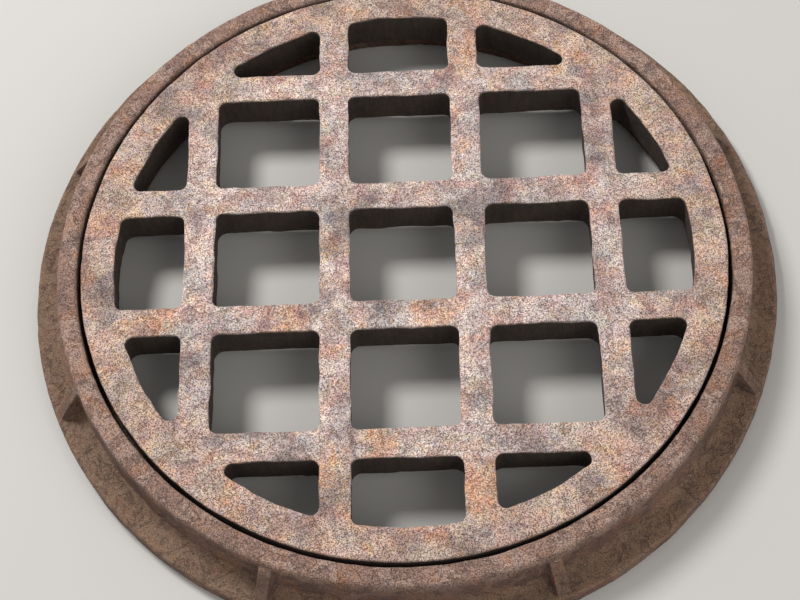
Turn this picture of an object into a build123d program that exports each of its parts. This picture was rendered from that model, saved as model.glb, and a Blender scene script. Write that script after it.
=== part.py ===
from build123d import *
from math import cos, radians, sin, sqrt, tan
import os

# Storm drain inlet: a round cast-iron grate lying loose in a low cast-iron frame.
# Millimetres, +Z up, origin at the centre of the frame's underside.

# Grate, driving dimensions
grate_diameter = 603.2
grate_depth = 44.5
bar_width = 29.4
ring_width = 32.2
bar_draft = 4.0
rim_draft = 1.5
opening_corner_radius = 7.0
worn_edge = 1.5
worn_slope = 45.0
bars_each_way = 4

# Frame, driving dimensions
seat_clearance = 3.2
ledge_width = 25.4
base_thickness = 19.0
rim_thickness = 19.0
rim_taper = 3.0
flange_reach = 25.4
frame_edge = 2.5
root_slope = 6.0
gusset_count = 8
gusset_thickness = 12.7
gusset_drop = 9.0
gusset_inset = 5.0
gusset_toe = 3.0

# Derived sizes
grate_radius = grate_diameter / 2
web_radius = grate_radius - ring_width
seat_radius = grate_radius + seat_clearance
clear_radius = seat_radius - ledge_width
rim_radius = seat_radius + rim_thickness
flange_radius = rim_radius + rim_taper + flange_reach
frame_height = base_thickness + grate_depth
grate_foot_radius = grate_radius - grate_depth * tan(radians(rim_draft))

# The ring's inner edge runs through the four outermost crossings, which sets the bars 127 mm apart
half_span = (bars_each_way - 1) / 2
bar_pitch = web_radius / (sqrt(2) * half_span)
bar_centres = [(i - half_span) * bar_pitch for i in range(bars_each_way)]


# The grate is one casting. Its bars run both ways, and each opening widens
# downwards, as the mould was drawn out. The ring round the bars carries them.
with BuildPart() as grate:
    with BuildSketch(Plane.XZ):
        with BuildLine():
            Polyline(
                (0, base_thickness),
                (grate_foot_radius, base_thickness),
                (grate_radius, frame_height - worn_edge),
                (grate_radius - worn_edge, frame_height),
                (0, frame_height),
                close=True,
            )
        make_face()
    revolve(axis=Axis.Z)

    with BuildSketch(Plane.XY.offset(frame_height)) as opening_outlines:
        Circle(web_radius)
        for centre in bar_centres:
            with Locations((centre, 0)):
                Rectangle(bar_width, 2 * grate_radius, mode=Mode.SUBTRACT)
            with Locations((0, centre)):
                Rectangle(2 * grate_radius, bar_width, mode=Mode.SUBTRACT)
        fillet(opening_outlines.vertices(), opening_corner_radius)
    extrude(amount=-grate_depth, taper=-bar_draft, mode=Mode.SUBTRACT)

    with BuildSketch(Plane.XY.offset(frame_height)):
        add(opening_outlines.sketch_local)
        offset(amount=worn_edge)
    extrude(amount=-worn_edge, taper=worn_slope, mode=Mode.SUBTRACT)


# The frame is one ring casting: a base that is ledge inside and flange outside,
# and a rim that stands round the grate, flush with its top.
with BuildPart() as frame:
    with BuildSketch(Plane.XZ) as frame_section:
        with BuildLine():
            Polyline(
                (clear_radius, 0),
                (flange_radius, 0),
                (flange_radius, base_thickness),
                (rim_radius + rim_taper, base_thickness),
                (rim_radius, frame_height),
                (seat_radius, frame_height),
                (seat_radius, base_thickness),
                (clear_radius, base_thickness),
                close=True,
            )
        make_face()
        rim_root = (rim_radius + rim_taper, base_thickness)
        chamfer(frame_section.vertices().sort_by_distance(rim_root)[0], root_slope)
        upper_corners = [
            (flange_radius, base_thickness),
            (rim_radius, frame_height),
            (seat_radius, frame_height),
        ]
        for corner in upper_corners:
            chamfer(frame_section.vertices().sort_by_distance(corner)[0], frame_edge)
    revolve(axis=Axis.Z)

    gusset_top = frame_height - gusset_drop
    gusset_foot = flange_radius - gusset_inset
    gusset_root = seat_radius + rim_thickness / 2
    for turn in range(gusset_count):
        heading = radians(360 / gusset_count * (turn + 0.5))
        radial_plane = Plane(
            origin=(0, 0, 0),
            x_dir=(cos(heading), sin(heading), 0),
            z_dir=(sin(heading), -cos(heading), 0),
        )
        with BuildSketch(radial_plane):
            with BuildLine():
                Polyline(
                    (gusset_root, base_thickness / 2),
                    (gusset_foot, base_thickness / 2),
                    (gusset_foot, base_thickness + gusset_toe),
                    (rim_radius + rim_taper, gusset_top),
                    (gusset_root, gusset_top),
                    close=True,
                )
            make_face()
        extrude(amount=gusset_thickness / 2, both=True)


grate.part.label = "grate"
frame.part.label = "frame"

os.makedirs("parts", exist_ok=True)
export_step(grate.part, "parts/grate.step")
export_step(frame.part, "parts/frame.step")
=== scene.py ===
from math import radians

import bpy
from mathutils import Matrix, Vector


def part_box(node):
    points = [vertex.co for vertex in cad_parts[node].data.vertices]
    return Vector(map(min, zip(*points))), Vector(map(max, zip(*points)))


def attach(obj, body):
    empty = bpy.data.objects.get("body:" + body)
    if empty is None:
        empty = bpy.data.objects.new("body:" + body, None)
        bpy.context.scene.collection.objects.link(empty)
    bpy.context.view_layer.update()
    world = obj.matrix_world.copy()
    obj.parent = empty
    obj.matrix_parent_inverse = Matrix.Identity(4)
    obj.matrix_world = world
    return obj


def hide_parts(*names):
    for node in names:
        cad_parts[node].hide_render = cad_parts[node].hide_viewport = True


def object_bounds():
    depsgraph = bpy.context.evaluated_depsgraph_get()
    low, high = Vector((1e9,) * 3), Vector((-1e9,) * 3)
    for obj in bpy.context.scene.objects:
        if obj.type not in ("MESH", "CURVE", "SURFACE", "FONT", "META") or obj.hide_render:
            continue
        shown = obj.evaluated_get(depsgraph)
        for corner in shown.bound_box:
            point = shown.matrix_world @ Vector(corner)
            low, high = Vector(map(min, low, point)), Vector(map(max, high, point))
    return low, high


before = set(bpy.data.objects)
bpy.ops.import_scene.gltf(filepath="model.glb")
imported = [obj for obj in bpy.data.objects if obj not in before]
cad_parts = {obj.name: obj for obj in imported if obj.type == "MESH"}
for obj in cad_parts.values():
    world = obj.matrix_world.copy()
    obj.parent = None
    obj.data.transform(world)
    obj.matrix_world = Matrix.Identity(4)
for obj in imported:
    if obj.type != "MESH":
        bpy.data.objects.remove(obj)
cad_low, cad_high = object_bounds()


# Frame: one ring of grey iron, cast in sand, with a ledge inside and a flange outside.
# It was bedded in the ground and never painted, so rust scale covers it all over and
# the soil has stained the flange, the gussets and the foot of the rim.

def choose(piece):
    bpy.ops.object.select_all(action="DESELECT")
    piece.select_set(True)
    bpy.context.view_layer.objects.active = piece


def work(piece, kind, **settings):
    step = piece.modifiers.new(kind.lower(), kind)
    for name, value in settings.items():
        setattr(step, name, value)
    choose(piece)
    bpy.ops.object.modifier_apply(modifier=step.name)


def casting(node, name, voxel, smoothing):
    """A copy of the node's own solid, merged and remeshed so that its faces and edges can wear."""
    piece = bpy.data.objects.new(name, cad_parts[node].data.copy())
    bpy.context.scene.collection.objects.link(piece)
    piece.data.materials.clear()
    choose(piece)
    bpy.ops.object.mode_set(mode="EDIT")
    bpy.ops.mesh.select_all(action="SELECT")
    bpy.ops.mesh.remove_doubles(threshold=0.00001)
    bpy.ops.mesh.normals_make_consistent(inside=False)
    bpy.ops.object.mode_set(mode="OBJECT")
    work(piece, "REMESH", mode="VOXEL", voxel_size=voxel)
    work(piece, "SMOOTH", factor=smoothing, iterations=1)
    return piece


def wear(piece, name, depth, size, octaves, where="", level=1.0, contrast=1.0, intensity=1.0):
    """Takes iron off by up to the depth in clouds of the size, or about the face at a level of 0.5."""
    clouds = bpy.data.textures.new(name, "CLOUDS")
    clouds.noise_scale = size
    clouds.noise_depth = octaves
    clouds.contrast = contrast
    clouds.intensity = intensity
    work(piece, "DISPLACE", texture=clouds, texture_coords="LOCAL", mid_level=level, strength=depth,
         vertex_group=where)


def trim_to(piece, triangles):
    present = sum(len(face.vertices) - 2 for face in piece.data.polygons)
    if present > triangles:
        work(piece, "DECIMATE", ratio=triangles / present)


def keep_inside_cad(piece):
    for vertex in piece.data.vertices:
        vertex.co = [min(max(at, low), high) for at, low, high in zip(vertex.co, cad_low, cad_high)]


def shade(piece, edge_angle=radians(38)):
    choose(piece)
    bpy.ops.object.shade_smooth_by_angle(angle=edge_angle)


def paint(red, green, blue):
    """A colour as seen, in 0 to 255, as the linear one that a shader takes."""
    def linear(level):
        level = level / 255
        return level / 12.92 if level <= 0.04045 else ((level + 0.055) / 1.055) ** 2.4
    return (linear(red), linear(green), linear(blue), 1.0)


def feed(tree, socket, value):
    if isinstance(value, bpy.types.NodeSocket):
        tree.links.new(value, socket)
    else:
        socket.default_value = value


def put(tree, kind, inputs, **settings):
    node = tree.nodes.new("ShaderNode" + kind)
    for name, value in settings.items():
        setattr(node, name, value)
    for name, value in inputs.items():
        feed(tree, node.inputs[name], value)
    return node


def reckon(tree, way, first, second=0.0):
    return put(tree, "Math", {0: first, 1: second}, operation=way).outputs[0]


def times(tree, first, second):
    return reckon(tree, "MULTIPLY", first, second)


def either(tree, first, second):
    return reckon(tree, "MAXIMUM", first, second)


def span(tree, value, low, high, bottom=0.0, top=1.0):
    """The value carried from low..high to bottom..top, and held at those ends."""
    ends = {"Value": value, "From Min": low, "From Max": high, "To Min": bottom, "To Max": top}
    return put(tree, "MapRange", ends, clamp=True).outputs["Result"]


def blend(tree, factor, first, second, way="MIX"):
    node = put(tree, "Mix", {"Factor": factor}, data_type="RGBA", blend_type=way)
    feed(tree, node.inputs[6], first)
    feed(tree, node.inputs[7], second)
    return node.outputs[2]


def tint(tree, factor, colour, stain):
    return blend(tree, factor, colour, stain, "MULTIPLY")


def ramp(tree, value, *stops):
    node = put(tree, "ValToRGB", {"Fac": value})
    band = node.color_ramp
    while len(band.elements) < len(stops):
        band.elements.new(0.5)
    for element, (position, colour) in zip(band.elements, stops):
        element.position = position
        element.color = paint(*colour)
    return node.outputs["Color"]


def noise(tree, place, per_metre, detail, roughness=0.6, distortion=0.0):
    return put(tree, "TexNoise", {"Vector": place, "Scale": per_metre, "Detail": detail,
                                  "Roughness": roughness, "Distortion": distortion}).outputs["Fac"]


def group(name, inputs, outputs):
    tree = bpy.data.node_groups.new(name, "ShaderNodeTree")
    for label, kind, value in inputs:
        socket = tree.interface.new_socket(label, in_out="INPUT", socket_type="NodeSocket" + kind)
        if value is not None:
            socket.default_value = value
    for label in outputs:
        tree.interface.new_socket(label, in_out="OUTPUT", socket_type="NodeSocketFloat")
    return tree, tree.nodes.new("NodeGroupInput").outputs, tree.nodes.new("NodeGroupOutput").inputs


def use(tree, grouped, inputs):
    return put(tree, "Group", inputs, node_tree=grouped).outputs


def new_material(name):
    material = bpy.data.materials.new(name)
    material.use_nodes = True
    tree = material.node_tree
    return material, tree, tree.nodes["Principled BSDF"].inputs


# rust grain: the speckle of a dry rusted face, in three sizes of grain, with scattered pits
rust_grain, given, made = group(
    "rust_grain",
    [("Vector", "Vector", None), ("Grains per Metre", "Float", 560.0)],
    ["Speckle", "Height", "Pits"],
)
grain_sizes = [(1.0, 0.44, 0.3), (2.1, 0.36, 0.0), (4.6, 0.20, 0.0)]
speckle = 0.0
for finer, share, distortion in grain_sizes:
    layer = noise(rust_grain, given["Vector"], times(rust_grain, given["Grains per Metre"], finer),
                  1.0, distortion=distortion)
    speckle = reckon(rust_grain, "ADD", speckle, times(rust_grain, layer, share))

pit_size, pit_spread, pit_depth = 0.42, 0.09, 0.5
pocks = put(rust_grain, "TexVoronoi",
            {"Vector": given["Vector"], "Randomness": 1.0,
             "Scale": times(rust_grain, given["Grains per Metre"], pit_size)}, feature="SMOOTH_F1")
pitted = noise(rust_grain, given["Vector"], times(rust_grain, given["Grains per Metre"], pit_spread),
               3.0, roughness=0.5)
pits = times(rust_grain, span(rust_grain, pocks.outputs["Distance"], 0.34, 0.12),
             span(rust_grain, pitted, 0.50, 0.60))
feed(rust_grain, made["Speckle"], speckle)
feed(rust_grain, made["Height"], reckon(rust_grain, "SUBTRACT", speckle, times(rust_grain, pits, pit_depth)))
feed(rust_grain, made["Pits"], pits)

# flaked scale: where the thin crust has come away in ragged plates, and the crust's broken rim
flaked_scale, given, made = group(
    "flaked_scale",
    [("Vector", "Vector", None), ("Plates per Metre", "Float", 50.0), ("Level", "Float", 0.47)],
    ["Lost", "Rim"],
)
crust = noise(flaked_scale, given["Vector"], given["Plates per Metre"], 6.0, 0.58, 0.7)
over = reckon(flaked_scale, "SUBTRACT", crust, given["Level"])
feed(flaked_scale, made["Lost"], span(flaked_scale, over, 0.012, -0.012))
feed(flaked_scale, made["Rim"], span(flaked_scale, reckon(flaked_scale, "ABSOLUTE", over), 0.022, 0.004))

# ragged patch: one bloom of rust or bare place, with a torn outline
ragged_patch, given, made = group(
    "ragged_patch",
    [("Vector", "Vector", None), ("Centre", "Vector", (0, 0, 0)), ("Radius", "Float", 0.02)],
    ["Mask"],
)
raggedness = 2.6
torn = noise(ragged_patch, given["Vector"], 95.0, 4.0, 0.62)
away = put(ragged_patch, "VectorMath", {0: given["Vector"], 1: given["Centre"]}, operation="DISTANCE")
reach = reckon(ragged_patch, "DIVIDE", away.outputs["Value"], given["Radius"])
reach = reckon(ragged_patch, "ADD", reach,
               times(ragged_patch, reckon(ragged_patch, "SUBTRACT", torn, 0.5), raggedness))
feed(ragged_patch, made["Mask"], span(ragged_patch, reach, 1.15, 0.45))

# weather: how far a face looks up, how deep it lies below the crown, and the streaks down a wall
weather, given, made = group(
    "weather",
    [("Vector", "Vector", None), ("Crown", "Float", 0.0635), ("Depth", "Float", 0.012)],
    ["Up", "Below", "Streaks"],
)
line_raggedness, streak_stretch = 0.9, 0.12
facing = put(weather, "SeparateXYZ", {"Vector": put(weather, "NewGeometry", {}).outputs["Normal"]})
at = put(weather, "SeparateXYZ", {"Vector": given["Vector"]})
ragged_line = noise(weather, given["Vector"], 120.0, 4.0)
drop = reckon(weather, "DIVIDE", reckon(weather, "SUBTRACT", given["Crown"], at.outputs["Z"]), given["Depth"])
drop = reckon(weather, "ADD", drop,
              times(weather, reckon(weather, "SUBTRACT", ragged_line, 0.5), line_raggedness))
stretched = put(weather, "Mapping", {"Vector": given["Vector"], "Scale": (1.0, 1.0, streak_stretch)})
runs = noise(weather, stretched.outputs["Vector"], 260.0, 3.0)
feed(weather, made["Up"], span(weather, facing.outputs["Z"], 0.25, 0.85))
feed(weather, made["Below"], span(weather, drop, 0.1, 1.0))
feed(weather, made["Streaks"], span(weather, runs, 0.36, 0.64))

# edge wear: the rubbed ridges and the dirty hollows of the casting's own relief; on the grate the ridges'
# lighter colour is also a painted highlight
edge_wear, given, made = group("edge_wear", [("Vector", "Vector", None)], ["Ridges", "Hollows"])
unevenness = 0.05
broken = noise(edge_wear, given["Vector"], 210.0, 3.0, roughness=0.5)
sharp = reckon(edge_wear, "ADD", put(edge_wear, "NewGeometry", {}).outputs["Pointiness"],
               times(edge_wear, reckon(edge_wear, "SUBTRACT", broken, 0.5), unevenness))
feed(edge_wear, made["Ridges"], span(edge_wear, sharp, 0.515, 0.60))
feed(edge_wear, made["Hollows"], span(edge_wear, sharp, 0.490, 0.43))

frame_casting = casting("frame", "frame_casting", voxel=0.0011, smoothing=0.4)
wear(frame_casting, "frame waste", depth=0.0008, size=0.050, octaves=1)
wear(frame_casting, "frame scale", depth=0.0003, size=0.024, octaves=2, contrast=5.0, intensity=1.1)
trim_to(frame_casting, 190000)
keep_inside_cad(frame_casting)
shade(frame_casting)

frame_rust, tree, shader = new_material("frame_rust_scale")
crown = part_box("grate")[1].z
rim_top, rim_foot = 0.002, 0.014
place = put(tree, "TexCoord", {}).outputs["Object"]
grain = use(tree, rust_grain, {"Vector": place, "Grains per Metre": 800.0})
crust = use(tree, flaked_scale, {"Vector": place, "Plates per Metre": 42.0, "Level": 0.49})
film = use(tree, weather, {"Vector": place, "Crown": crown - rim_top, "Depth": rim_foot})
worn = use(tree, edge_wear, {"Vector": place})
broad = noise(tree, place, 13.0, 4.0)
blotch = noise(tree, place, 52.0, 4.0, distortion=0.8)
mottle = noise(tree, place, 160.0, 3.0, distortion=0.6)

# the top of the rim has the grate's film, a little darker
tones = ramp(tree, grain["Speckle"],
             (0.42, (88, 71, 64)), (0.5, (140, 120, 111)), (0.57, (179, 160, 149)))
minerals = ramp(tree, blotch, (0.30, (208, 198, 194)), (0.42, (232, 218, 214)),
                (0.50, (250, 238, 232)), (0.60, (255, 234, 216)), (0.70, (252, 210, 178)))
rim_film = tint(tree, 1.0, tones, minerals)

# the sides are brown scale and orange powder, with streaks
lit = span(tree, grain["Speckle"], 0.38, 0.62)
scale = blend(tree, lit, paint(69, 50, 41), paint(107, 82, 67))
powder = blend(tree, lit, paint(101, 64, 44), paint(136, 94, 66))
scale = blend(tree, span(tree, blotch, 0.46, 0.66, 0.0, 0.9), scale, powder)
scale = tint(tree, times(tree, film["Streaks"], 0.45), scale, paint(190, 178, 172))
side = times(tree, film["Below"], span(tree, broad, 0.34, 0.62, 0.95, 0.65))
skin = blend(tree, side, rim_film, scale)
skin = tint(tree, times(tree, crust["Lost"], 0.6), skin, paint(218, 202, 195))

# soil lies on the flange and in the gussets' corners, and dirt fills the pits and hollows
soil_cover = times(tree, times(tree, film["Up"], film["Below"]), span(tree, mottle, 0.36, 0.60, 0.25, 0.95))
soil = blend(tree, span(tree, grain["Speckle"], 0.40, 0.60), paint(91, 69, 53), paint(139, 113, 90))
skin = blend(tree, soil_cover, skin, soil)
skin = blend(tree, times(tree, worn["Ridges"], 0.40), skin, paint(150, 123, 107))
dirt = either(tree, grain["Pits"], either(tree, worn["Hollows"], crust["Rim"]))
skin = blend(tree, times(tree, dirt, 0.45), skin, paint(49, 34, 27))
height = reckon(tree, "SUBTRACT", times(tree, grain["Height"], 0.8), times(tree, crust["Lost"], 0.45))
relief = put(tree, "Bump", {"Height": height, "Distance": 0.0016, "Strength": 0.9})
feed(tree, shader["Base Color"], skin)
feed(tree, shader["Roughness"], span(tree, grain["Speckle"], 0.38, 0.62, 0.94, 0.80))
feed(tree, shader["Normal"], relief.outputs["Normal"])
frame_casting.data.materials.append(frame_rust)
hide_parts("frame")
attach(frame_casting, "root")


# Grate: one casting, four bars each way in a ring, laid loose in the frame. Feet and mowers have worn
# the edges of its top, which are also painted lighter as a highlight, rust has eaten small pits in it, and a
# dry pink-brown film covers it, with orange blooms and a few bare grey places. The walls are streaked
# and painted dark, partly as damp and partly as painted shade.

grate_casting = casting("grate", "grate_casting", voxel=0.0011, smoothing=0.5)
inside_ring = 0.29
walls = grate_casting.vertex_groups.new(name="walls")
walls.add([vertex.index for vertex in grate_casting.data.vertices
           if abs(vertex.normal.z) < 0.5 and vertex.co.xy.length < inside_ring], 1.0, "REPLACE")
wear(grate_casting, "bar waver", depth=0.0026, size=0.032, octaves=1, where="walls", level=0.5)
wear(grate_casting, "wall scale", depth=0.0005, size=0.012, octaves=2, where="walls", level=0.5)
wear(grate_casting, "waste", depth=0.0005, size=0.040, octaves=1)
wear(grate_casting, "scale", depth=0.0003, size=0.024, octaves=2, contrast=5.0, intensity=1.1)
trim_to(grate_casting, 195000)
keep_inside_cad(grate_casting)
shade(grate_casting)

grate_rust, tree, shader = new_material("grate_rust_film")
film_depth, wall_depth = 0.001, 0.003
place = put(tree, "TexCoord", {}).outputs["Object"]
grain = use(tree, rust_grain, {"Vector": place, "Grains per Metre": 800.0})
crust = use(tree, flaked_scale, {"Vector": place, "Plates per Metre": 46.0, "Level": 0.46})
film = use(tree, weather, {"Vector": place, "Crown": crown - film_depth, "Depth": wall_depth})
worn = use(tree, edge_wear, {"Vector": place})
broad = noise(tree, place, 15.0, 3.0)
stray = noise(tree, place, 34.0, 5.0, distortion=0.4)
blotch = noise(tree, place, 60.0, 4.0, distortion=0.9)
hues = noise(tree, place, 82.0, 2.0, distortion=1.2)
mottle = noise(tree, place, 190.0, 3.0, distortion=0.6)

# the film itself: a speckle from grey-brown to nearly white, partly the film's grain and partly painted
# glints and painted shade of its rough relief, which four stains turn pink and tan
skin = ramp(tree, grain["Speckle"],
            (0.435, (110, 98, 96)), (0.5, (198, 193, 191)), (0.55, (248, 245, 243)))
minerals = ramp(tree, blotch, (0.32, (226, 220, 221)), (0.41, (236, 222, 220)), (0.49, (248, 236, 233)),
                (0.56, (255, 249, 244)), (0.64, (255, 243, 232)), (0.74, (255, 224, 200)))
cast = ramp(tree, broad, (0.36, (186, 185, 187)), (0.47, (236, 235, 235)), (0.57, (255, 255, 253)))
rusts = ramp(tree, hues, (0.34, (244, 240, 243)), (0.43, (251, 244, 245)), (0.50, (255, 248, 246)),
             (0.57, (255, 249, 241)), (0.66, (255, 240, 222)))
blush = ramp(tree, stray, (0.38, (232, 238, 239)), (0.50, (253, 250, 248)), (0.62, (255, 236, 230)))
for stain in (minerals, cast, rusts, blush):
    skin = tint(tree, 1.0, skin, stain)
skin = blend(tree, times(tree, span(tree, mottle, 0.56, 0.66), 0.25), skin, paint(188, 170, 158))

# plates of crust are gone here and there, and the place below is redder and darker
skin = tint(tree, times(tree, crust["Lost"], 0.6), skin, paint(232, 216, 212))


def patches(places):
    mask = 0.0
    for x, y, radius in places:
        patch = use(tree, ragged_patch, {"Vector": place, "Centre": (x, y, crown), "Radius": radius})
        mask = either(tree, mask, patch["Mask"])
    return mask


# orange blooms, the larger ones where the photograph shows them
blooms = [
    (-0.068, -0.220, 0.024), (0.069, -0.232, 0.026), (-0.104, -0.068, 0.022), (0.026, -0.055, 0.026),
    (-0.070, 0.010, 0.015), (-0.024, -0.190, 0.020), (-0.224, -0.060, 0.020), (0.061, 0.214, 0.022),
]
bloomed = either(tree, patches(blooms), span(tree, stray, 0.60, 0.72, 0.0, 0.8))
bloomed = times(tree, bloomed, span(tree, mottle, 0.40, 0.56, 0.35, 0.95))
skin = tint(tree, bloomed, skin, paint(255, 226, 194))

# bare grey places, where feet have rubbed the film off
bare_places = [
    (-0.054, -0.178, 0.014), (0.064, -0.148, 0.018), (0.063, 0.014, 0.013), (-0.002, 0.076, 0.013),
    (-0.168, -0.090, 0.013),
]
bare = patches(bare_places)
skin = tint(tree, times(tree, bare, 0.8), skin, paint(208, 213, 212))

# the ring and the bars' ends, long under soil, are stained earth brown
soil_starts, soil_full, soil_raggedness = 0.215, 0.275, 0.16
flat_place = put(tree, "VectorMath", {0: place, 1: (1.0, 1.0, 0.0)}, operation="MULTIPLY")
outward = put(tree, "VectorMath", {0: flat_place.outputs["Vector"]}, operation="LENGTH").outputs["Value"]
outward = reckon(tree, "ADD", outward, times(tree, reckon(tree, "SUBTRACT", broad, 0.5), soil_raggedness))
buried = times(tree, span(tree, outward, soil_starts, soil_full), span(tree, blotch, 0.36, 0.60, 0.35, 0.85))
skin = tint(tree, buried, skin, paint(234, 217, 197))

# rubbed ridges, painted lighter both as wear and as a painted highlight along the edges, dirty pits and the
# broken rims of the crust
skin = blend(tree, times(tree, worn["Ridges"], 0.45), skin, paint(193, 173, 160))
dirt = either(tree, grain["Pits"], either(tree, worn["Hollows"], times(tree, crust["Rim"], 0.7)))
skin = blend(tree, times(tree, dirt, 0.45), skin, paint(86, 65, 57))

# the walls of the openings are damp and streaked, and painted darker with depth below the top, partly as
# painted shade
wall = blend(tree, film["Streaks"], paint(30, 23, 17), paint(55, 42, 34))
wall = blend(tree, span(tree, grain["Speckle"], 0.42, 0.60, 0.0, 0.5), wall, paint(75, 59, 48))
skin = blend(tree, film["Below"], skin, wall)
dryness = span(tree, grain["Speckle"], 0.40, 0.60, 0.92, 0.78)
height = reckon(tree, "SUBTRACT", times(tree, grain["Height"], 0.8), times(tree, crust["Lost"], 0.35))
relief = put(tree, "Bump", {"Height": height, "Distance": 0.0018, "Strength": 0.9})
feed(tree, shader["Base Color"], skin)
feed(tree, shader["Roughness"], reckon(tree, "SUBTRACT", dryness, times(tree, bare, 0.25)))
feed(tree, shader["Normal"], relief.outputs["Normal"])
grate_casting.data.materials.append(grate_rust)
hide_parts("grate")
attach(grate_casting, "root")


# Floor: a plain pale sheet under the frame. It is paler far out, where the lamps reach it less.

bpy.ops.object.select_all(action="DESELECT")
bpy.ops.mesh.primitive_plane_add(size=30, location=(0, 0, 0))
floor = bpy.context.active_object
floor.name = "floor"
floor_paint, tree, shader = new_material("floor_pale")
lit_radius, dim_radius = 0.9, 5.0
floor_place = put(tree, "TexCoord", {}).outputs["Object"]
from_centre = put(tree, "VectorMath", {0: floor_place}, operation="LENGTH").outputs["Value"]
feed(tree, shader["Base Color"], blend(tree, span(tree, from_centre, lit_radius, dim_radius),
                                       paint(180, 177, 172), paint(227, 225, 221)))
feed(tree, shader["Roughness"], 0.9)
floor.data.materials.append(floor_paint)


# Studio: a soft lamp from behind on the left, as the sun stood, a weak wide one from the
# right front, and a pale room.

def lamp(name, location, diameter, watts):
    light = bpy.data.lights.new(name, "AREA")
    light.shape = "DISK"
    light.size = diameter
    light.energy = watts
    holder = bpy.data.objects.new(name, light)
    bpy.context.scene.collection.objects.link(holder)
    holder.location = location
    holder.rotation_euler = (-holder.location).to_track_quat("-Z", "Y").to_euler()


lamp("key", (-1.5, 1.3, 2.6), diameter=0.9, watts=104)
lamp("fill", (1.8, -1.6, 2.0), diameter=2.4, watts=34)

room = bpy.data.worlds.new("room")
room.use_nodes = True
bpy.context.scene.world = room
tree = room.node_tree
rays = put(tree, "LightPath", {}).outputs
seen = either(tree, rays["Is Camera Ray"], either(tree, rays["Is Glossy Ray"], rays["Is Transmission Ray"]))
room_light = (0.50, 0.50, 0.51, 1.0)
backdrop = tree.nodes["Background"].inputs
feed(tree, backdrop["Color"], blend(tree, seen, room_light, paint(226, 224, 220)))
feed(tree, backdrop["Strength"], 1.0)


# Camera: where the photograph was taken from, standing over the grate.

camera = bpy.data.objects.new("camera", bpy.data.cameras.new("camera"))
bpy.context.scene.collection.objects.link(camera)
camera.location = (0.04134, -0.79578, 1.50075)
camera.rotation_euler = (radians(27.374), radians(2.354), radians(-1.124))
camera.data.sensor_fit = "HORIZONTAL"
camera.data.sensor_width = 36.0
camera.data.lens = 79.405
camera.data.clip_start = 0.05
camera.data.clip_end = 60.0
bpy.context.scene.camera = camera
bpy.context.scene.view_settings.view_transform = "Standard"
